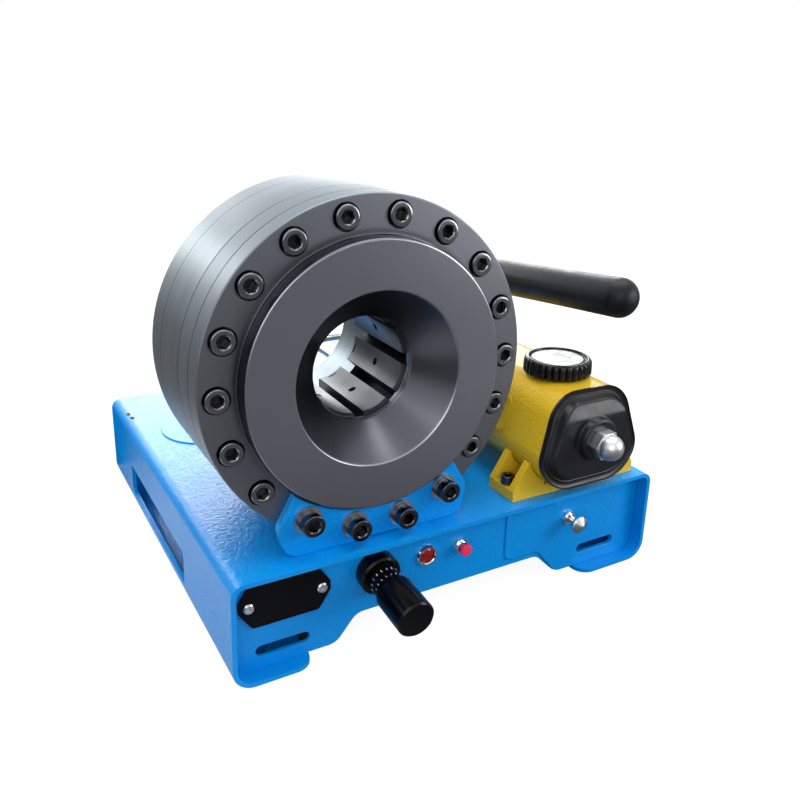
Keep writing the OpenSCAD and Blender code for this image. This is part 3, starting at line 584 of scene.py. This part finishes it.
def end_cap():
    """Rubber lid: rounded edge, lip and groove, then a face with a crease and a boss."""
    around, rings, step, shrink = 144, 26, 0.0001, 0.93
    boss_r, boss_z, bead = 0.0212, 0.0173, 0.0042
    clear()
    bpy.ops.mesh.primitive_circle_add(vertices=around, radius=0.05, fill_type="NGON")
    cap = bpy.context.object
    cap.name = "rubber_end_cap"
    for point, place in zip(cap.data.vertices, rounded_outline(CAP_OUTLINE, around)):
        point.co = (place.x, place.y, 0)
    pick(cap, "polygons", lambda f: True)
    draw_out(0, 0, 0.0026)
    for inset, up in ((0.0004, 0.0008), (0.0009, 0.0008), (0.0014, 0.0006), (0.0018, 0.0003),
                      (0.0008, 0.0), (0.0004, -0.0002), (0.0003, -0.0010), (0.0005, -0.0004),
                      (0.0009, 0.0), (0.0004, 0.0003)):
        bpy.ops.mesh.inset(thickness=inset, depth=up)
    for _ in range(rings):
        draw_out(0, 0, step)
        bpy.ops.transform.resize(value=(shrink, shrink, 1), center_override=(0, 0, 0))
    bpy.ops.object.mode_set(mode="OBJECT")
    points = cap.data.vertices
    floor_z = max(v.co.z for v in points[-around:]) - rings * step
    for v in points[-around * rings:]:
        k = round((v.co.z - floor_z) / step)
        edge = v.co.xy.length / shrink ** k
        turn = math.atan2(v.co.y, v.co.x)
        reach = edge + (boss_r - edge) * k / rings
        x, s = reach * math.cos(turn), reach * math.sin(turn)
        rise = smooth_step((edge - reach) / bead)
        v.co = (x, s, floor_z + (max(cap_face_height(s), floor_z) - floor_z) * rise)
    # the boss for the nut, with a fillet at its foot and a rounded brow
    level = cap_face_height(0)
    pick(cap, "polygons", lambda f: len(f.vertices) > 8 and f.center.z > 0.004)
    for r, z in ((0.0203, level + 0.0004), (0.0198, level + 0.0012), (0.0196, boss_z - 0.0022),
                 (0.0190, boss_z - 0.0009), (0.0180, boss_z - 0.0002), (0.0165, boss_z)):
        draw_out(0, 0, step)
        bpy.ops.object.mode_set(mode="OBJECT")
        for v in cap.data.vertices:
            if v.select:
                turn = math.atan2(v.co.y, v.co.x)
                s = r * math.sin(turn)
                v.co = (r * math.cos(turn), s, z + BOSS_SLOPE * s)
        bpy.ops.object.mode_set(mode="EDIT")
    bpy.ops.object.mode_set(mode="OBJECT")
    close_rim(cap, 0)
    lean = Matrix.Rotation(math.pi / 2 - CAP_LEAN, 4, "X")
    stand(cap, Matrix.Translation(ROD) @ lean)
    smooth(cap, 50)
    dress(cap, cap_rubber, "press", "end_cap")


def grip():
    """Foam sleeve on the lever: a full round end, a slight waist and a turned-in inner end."""
    r, length, nose, brow, bore, waist = 0.0165, 0.2, 0.0152, 0.004, 0.0101, 0.00035
    straight, steps = length - 0.0202, 24
    profile = [(0.0, 0.0)] + arc(r - nose, nose, nose, -88, 0, 10)
    for k in range(1, steps):
        profile.append((r - waist * math.sin(math.pi * k / steps),
                        nose + straight * k / steps))
    profile += arc(r - brow, length - brow, brow, 0, 90, 4)
    profile += [(bore, length - 0.0004), (bore, length - brow), (0.0, length - brow)]
    piece = turned("foam_grip", profile, 72)
    lean = Matrix.Rotation(-math.pi / 2 - LEVER_LEAN, 4, "X")
    stand(piece, Matrix.Translation(FULCRUM) @ lean @ Matrix.Translation((0, 0, -GRIP_END)))
    smooth(piece, 35)
    dress(piece, grip_foam, "lever", "lever_grip")


def filler_cap():
    """Ribbed screw cap: thirty bold ribs under a thin rim, and a dished top inside a groove."""
    r, ribs, rib_depth, rim_z, inner_z = 0.0315, 30, 0.0026, 0.0138, 0.0086
    profile = [(0.0215, inner_z), (0.0215, 0.0), (0.0300, 0.0), (0.0310, 0.0006),
               (r, 0.0018), (r, 0.0050), (0.0313, 0.0090), (0.0310, 0.0115),
               (0.0303, 0.0130), (0.0296, rim_z), (0.0287, 0.0144), (0.0277, 0.0147),
               (0.0270, 0.0145), (0.0266, 0.0139), (0.0263, 0.0126), (0.0257, 0.0121),
               (0.0250, 0.0123), (0.0246, 0.0130), (0.0240, 0.0134), (0.0225, 0.0134),
               (0.0120, 0.0130), (0.0, 0.0129)]
    cap = turned("ribbed_filler_cap", profile, 8 * ribs)
    for v in cap.data.vertices:
        reach = v.co.xy.length
        if reach > 0.0294 and v.co.z < 0.0136:
            turn = math.atan2(v.co.y, v.co.x)
            wave = abs(math.cos(ribs / 2 * turn)) ** 0.6
            fade = min(1, (rim_z - v.co.z) / 0.0024)
            v.co.xy *= (reach - rib_depth * (1 - wave) * fade) / reach
    close_rim(cap, inner_z)
    stand(cap, Matrix.Translation(FILLER))
    smooth(cap, 40)
    dress(cap, cap_plastic, "filler_cap", "filler_cap")


# ---------------------------------------------------------------- head
def cover():
    """Front of the head: cone mouth, raised face, groove, and the holes of its screws."""
    back, wall, mouth_r, inner_r = -0.045, -WALL_IN, 0.0425, 0.10745
    profile = ([(mouth_r, wall), (mouth_r, -0.0168), (0.0672, 0.0122)]
               + arc(0.0693, 0.0126, 0.0012, 150, 90, 3) + [(0.0702, 0.0138), (0.1035, 0.0138)]
               + arc(0.1042, 0.0120, 0.0018, 90, 0, 5) + [(0.1060, 0.0012)]
               + arc(0.1068, 0.0008, 0.0008, 180, 270, 3) + [(0.1080, 0.0), (0.1335, 0.0)]
               + arc(0.1340, -0.0010, 0.0010, 90, 0, 3)
               + [(0.1350, -0.0194), (0.1344, -0.0200), (0.1350, -0.0206),
                  (0.1350, back + 0.0007), (0.1343, back), (inner_r, back), (inner_r, wall),
                  (mouth_r, wall)])
    piece = turned("front_cover_turned", profile, 180)
    deep, above, hole_r, seat_r, around = -0.06, 0.002, 0.0066, 0.0105, 48
    seat = turned("seat_drill", [(0.0, deep), (hole_r, deep), (hole_r, -SINK), (seat_r, -SINK),
                                 (seat_r, above), (0.0, above)], around)
    plain = turned("plain_drill", [(0.0, deep), (hole_r, deep), (hole_r, above),
                                   (0.0, above)], around)
    drills = []
    for angle in COVER_ANGLES + CRADLE_ANGLES:
        turn = math.radians(angle - 90)
        drill = copied(seat if angle in COVER_ANGLES else plain, "drill")
        drill.location = (SCREW_CIRCLE * math.cos(turn), -SCREW_CIRCLE * math.sin(turn), 0)
        drills.append(drill)
    only(drills[0])
    for drill in drills:
        drill.select_set(True)
    bpy.ops.object.join()
    cut_away(piece, drills[0])
    finish_shape(piece, 32)
    for used in (drills[0], seat, plain):
        bpy.data.objects.remove(used)
    stand(piece, Matrix.Translation(DIE_AXIS) @ OUT_TO_FRONT)
    dress(piece, face_steel, "press", "front_cover")


# ---------------------------------------------------------------- screws
def socket_screw(name, head_d, head_h, shank_d, length, key, knurls=36):
    """Socket head screw about local Z, head top at zero: knurled side, round brow, hexagon."""
    r, depth = head_d / 2, head_h * 0.55
    brow, knurl, rim = 0.09 * r, 0.965, 0.0004
    flat = key / math.sqrt(3)                        # from the middle to a corner
    side = head_h - brow - 3 * rim
    profile = ([(0.0, -head_h - length), (shank_d / 2, -head_h - length),
                (shank_d / 2, -head_h), (r - rim, -head_h), (r, -head_h + rim)]
               + [(r, -head_h + rim + side * k / 3) for k in (1, 2, 3)]
               + arc(r - brow, -brow, brow, 0, 75, 4)
               + [(r * 0.80, 0.0), (flat * 1.06, 0.0), (flat * 0.90, -0.0007), (0.0, -0.0007)])
    screw = turned(name, profile, 2 * knurls)
    for v in screw.data.vertices:
        turn = math.atan2(v.co.y, v.co.x)
        if v.co.xy.length > r - 1e-5 and v.co.z < -brow - 0.0002:
            if round(turn / (math.pi / knurls)) % 2:
                v.co.xy *= knurl
    clear()
    bpy.ops.mesh.primitive_cylinder_add(vertices=6, radius=flat, depth=2 * depth)
    key_hole = bpy.context.object
    cut_away(screw, key_hole)
    apply_all(screw)
    bpy.data.objects.remove(key_hole)
    # mark the key hole, which the screw finishes darken as painted shade
    deep = screw.data.attributes.new("key_hole", "FLOAT", "POINT")
    for v in screw.data.vertices:
        inside = v.co.xy.length < flat * 1.03 and -head_h < v.co.z < -0.0009
        deep.data[v.index].value = 1.0 if inside else 0.0
    return screw


def place_copies(pattern, places, finish, node):
    """Copies of one modelled piece, each with its own mesh, then the pattern is put away."""
    for k, matrix in enumerate(places, 1):
        piece = copied(pattern, f"{pattern.name}_{k}")
        stand(piece, matrix)
        smooth(piece, 32)
        dress(piece, finish, "press", node)
    bpy.data.objects.remove(pattern)


def on_screw_circle(angles, stand_out):
    """Places on the cover's screw circle, local Z out, each key hole at its own turn."""
    for a in angles:
        turn = math.radians(a - 90)
        place = Vector((AXIS_X + SCREW_CIRCLE * math.cos(turn), FACE_Y - stand_out,
                        AXIS_Z - SCREW_CIRCLE * math.sin(turn)))
        own_turn = Matrix.Rotation(0.7 * a, 4, "Z")
        yield Matrix.Translation(place) @ OUT_TO_FRONT @ own_turn


def screws():
    """Cover, cradle and foot screws, each kind modelled once."""
    place_copies(socket_screw("cover_screw", HEAD_D, HEAD_H, 0.012, 0.056, 0.009),
                 on_screw_circle(COVER_ANGLES, HEAD_H - SINK),
                 screw_oxide, "cover_screws")
    place_copies(socket_screw("cradle_screw", HEAD_D, HEAD_H, 0.012, 0.076, 0.009),
                 on_screw_circle(CRADLE_ANGLES, CRADLE_T + WASHER_T + HEAD_H),
                 dark_screw, "cradle_screws")
    feet = [Matrix.Translation((PUMP_X + side * FOOT_SCREW_X, y, FOOT_SCREW_Z))
            for y in FOOT_SCREW_Y for side in (-1, 1)]
    place_copies(socket_screw("foot_screw", 0.013, 0.008, 0.008, 0.018, 0.006, 28), feet,
                 dark_screw, "foot_screws")


# ---------------------------------------------------------------- make the pieces
end_cap()
cover()
grip()
filler_cap()
screws()

# solids whose edges are broken: node, finish, body, slot, width of the edge
SOFTENED = [
    ("base_channel", blue, "press", "blue_paint", 0.0007),
    ("reservoir", yellow, "press", "yellow_paint", 0.0004),
    ("front_panel", blue, "press", "blue_paint", 0.0004),
    ("service_panel", blue, "press", "blue_paint", 0.0005),
    ("cradle_plate", blue, "press", "blue_paint", 0.0007),
    ("pump_feet", yellow, "press", "yellow_paint", 0.0008),
    ("pump_block", yellow, "press", "yellow_paint", 0.0012),
    ("battery_cover", plastic, "press", "black_plastic", 0.0006),
    ("cap_nut", nut_zinc, "press", "chrome", 0.0005),
    ("lever", enamel, "lever", "black_enamel", 0.0008),
] + [(f"die_{k}", die_steel, f"jaw_{k}", "bright_steel", 0.0005) for k in range(1, 9)]
for row in SOFTENED:
    softened(*row)


# ---------------------------------------------------------------- stage
def flat_sheet(name, place, size, finish, upright=False):
    """Flat piece of the stage, lying or standing."""
    clear()
    bpy.ops.mesh.primitive_plane_add(size=1, location=place)
    sheet = bpy.context.object
    sheet.name = name
    if upright:
        sheet.rotation_euler = (math.pi / 2, 0, 0)
    sheet.scale = (*size, 1)
    bpy.ops.object.transform_apply(location=True, rotation=True, scale=True)
    sheet.data.materials.append(finish.material)
    return sheet


def stage_floor():
    """Paper that shows near white and throws little colour back at the object, with a painted
    pool of light to the left of the press and a painted shadow in front of it.
    """
    paper = Finish("floor_paper", (0.33, 0.33, 0.34), 0.8, Specular_IOR_Level=0.2)
    # painted light on the paper: paler in a patch left of the press, held at a dim grey in
    # front of it
    near = paper.nearness((-0.31, -0.04, 0), (2.6, 2.4, 1))
    tone = paper.ramp(near, (0.0, (0.085, 0.085, 0.09)), (0.6, (0.6, 0.6, 0.61)))
    away = paper.spread(paper.parts(paper.place)["Y"], -0.6, -0.4, 0, 1)
    paper.colour(paper.mix(away, (0.11, 0.11, 0.115), tone))
    glow = paper.node("ShaderNodeEmission", Strength=0.93)
    shade = paper.node("ShaderNodeBsdfDiffuse", Color=(0.14, 0.14, 0.14, 1))
    seen = paper.node("ShaderNodeLightPath").outputs["Is Camera Ray"]
    lit = paper.node("ShaderNodeAddShader")
    paper.link(shade.outputs[0], lit.inputs[0]).link(glow.outputs[0], lit.inputs[1])
    either = paper.node("ShaderNodeMixShader")
    paper.link(seen, either.inputs[0]).link(paper.shader.outputs[0], either.inputs[1])
    paper.link(lit.outputs[0], either.inputs[2])
    paper.link(either.outputs[0], paper.tree.nodes["Material Output"].inputs["Surface"])
    flat_sheet("floor", (0, 0, -0.0004), (14, 14), paper)
    # dark sheets under the base, seen through its openings: painted shade beneath the press
    dark = Finish("painted_shade_paper", (0.05, 0.06, 0.08), 0.9, Specular_IOR_Level=0.1)
    under_base = (((-0.0026, 0.034), (0.385, 0.332)), ((-0.16, -0.162), (0.07, 0.05)),
                  ((0.155, -0.162), (0.07, 0.05)))
    for k, (middle, size) in enumerate(under_base, 1):
        flat_sheet(f"floor_under_base_{k}", (*middle, -0.0002), size, dark)


def card(name, place, size, colour):
    """Standing card that keeps the light behind off the pieces in front of it."""
    cloth = Finish(name + "_cloth", colour, 0.9, Specular_IOR_Level=0.0)
    flat_sheet(name, place, size, cloth, upright=True).visible_camera = False


def soft_light(name, place, target, size, radiance):
    """Large rectangular lamp turned to a target."""
    clear()
    bpy.ops.object.light_add(type="AREA", location=place)
    lamp = bpy.context.object
    lamp.name = name
    lamp.data.shape = "RECTANGLE"
    lamp.data.size, lamp.data.size_y = size
    lamp.data.energy = radiance * size[0] * size[1] * math.pi
    lamp.visible_camera = False
    lamp.rotation_euler = (Vector(target) - Vector(place)).to_track_quat("-Z", "Y").to_euler()


def camera():
    """Eye of the operator, above and to the left of the cone mouth."""
    view, focal, middle_x, middle_y = 800, 814.1, 438.83, 430.04        # in pixels
    sensor = 36                                                         # in millimetres
    place = (-0.3489, -0.7091, 0.43775)
    yaw, pitch, roll = (math.radians(a) for a in (31.979, -23.169, 2.097))
    ahead = Vector((math.sin(yaw) * math.cos(pitch), math.cos(yaw) * math.cos(pitch),
                    math.sin(pitch)))
    level = Vector((math.cos(yaw), -math.sin(yaw), 0))
    above = level.cross(ahead)
    right = level * math.cos(roll) + above * math.sin(roll)
    up = above * math.cos(roll) - level * math.sin(roll)
    data = bpy.data.cameras.new("camera")
    data.lens = sensor * focal / view
    data.sensor_width = sensor
    data.shift_x = (view / 2 - middle_x) / view
    data.shift_y = (middle_y - view / 2) / view
    data.clip_start = 0.05
    eye = bpy.data.objects.new("camera", data)
    bpy.context.scene.collection.objects.link(eye)
    turn = Matrix((right, up, -ahead)).transposed()
    eye.matrix_world = Matrix.Translation(place) @ turn.to_4x4()
    bpy.context.scene.camera = eye


def studio_air():
    """White behind the object; softer from above and dim from below for all other light."""
    world = bpy.data.worlds.new("studio")
    world.use_nodes = True
    tree = world.node_tree
    shown = tree.nodes["Background"]
    shown.inputs["Color"].default_value = (1, 1, 1, 1)
    air = tree.nodes.new("ShaderNodeBackground")
    way = tree.nodes.new("ShaderNodeTexCoord").outputs["Generated"]
    parts = tree.nodes.new("ShaderNodeSeparateXYZ")
    tree.links.new(way, parts.inputs[0])
    height = tree.nodes.new("ShaderNodeMapRange")
    height.inputs["From Min"].default_value = -1
    tree.links.new(parts.outputs["Z"], height.inputs["Value"])
    ramp = tree.nodes.new("ShaderNodeValToRGB")
    fill_ramp(ramp.color_ramp, [(at, (tone * 0.97, tone * 0.985, tone)) for at, tone in
                                ((0.0, 0.12), (0.5, 0.45), (0.62, 0.8), (1.0, 0.9))])
    tree.links.new(height.outputs["Result"], ramp.inputs["Fac"])
    tree.links.new(ramp.outputs["Color"], air.inputs["Color"])
    either = tree.nodes.new("ShaderNodeMixShader")
    seen = tree.nodes.new("ShaderNodeLightPath").outputs["Is Camera Ray"]
    tree.links.new(seen, either.inputs[0])
    tree.links.new(air.outputs[0], either.inputs[1])
    tree.links.new(shown.outputs[0], either.inputs[2])
    tree.links.new(either.outputs[0], tree.nodes["World Output"].inputs["Surface"])
    bpy.context.scene.world = world
    bpy.context.scene.view_settings.view_transform = "Standard"


camera()
stage_floor()
card("card_behind_base", (0, 0.24, 0.043), (0.5, 0.084), (0.01, 0.2, 0.6))
card("card_behind_head", (-0.02, 0.32, 0.58), (0.6, 0.26), (0.62, 0.65, 0.68))
studio_air()
soft_light("window_behind", (1.07, 2.65, 1.08), (0, 0, 0.2), (2.6, 0.95), 7)
soft_light("high_behind", (-0.6, 2.2, 1.9), (0, 0, 0.2), (2.2, 1.2), 1.2)
soft_light("left_behind", (-0.66, 1.95, 0.98), (-0.2, 0, 0.15), (0.9, 0.5), 4.6)
soft_light("overhead", (0.35, 0.25, 2.2), (0.1, 0, 0.1), (2.2, 1.8), 2.9)
soft_light("right_front", (0.68, -0.75, 0.4), (0.08, -0.2, 0.06), (0.45, 0.4), 5.2)
soft_light("left_front", (-0.95, -1.6, 0.95), (0, 0, 0.12), (1.2, 1.2), 1.45)
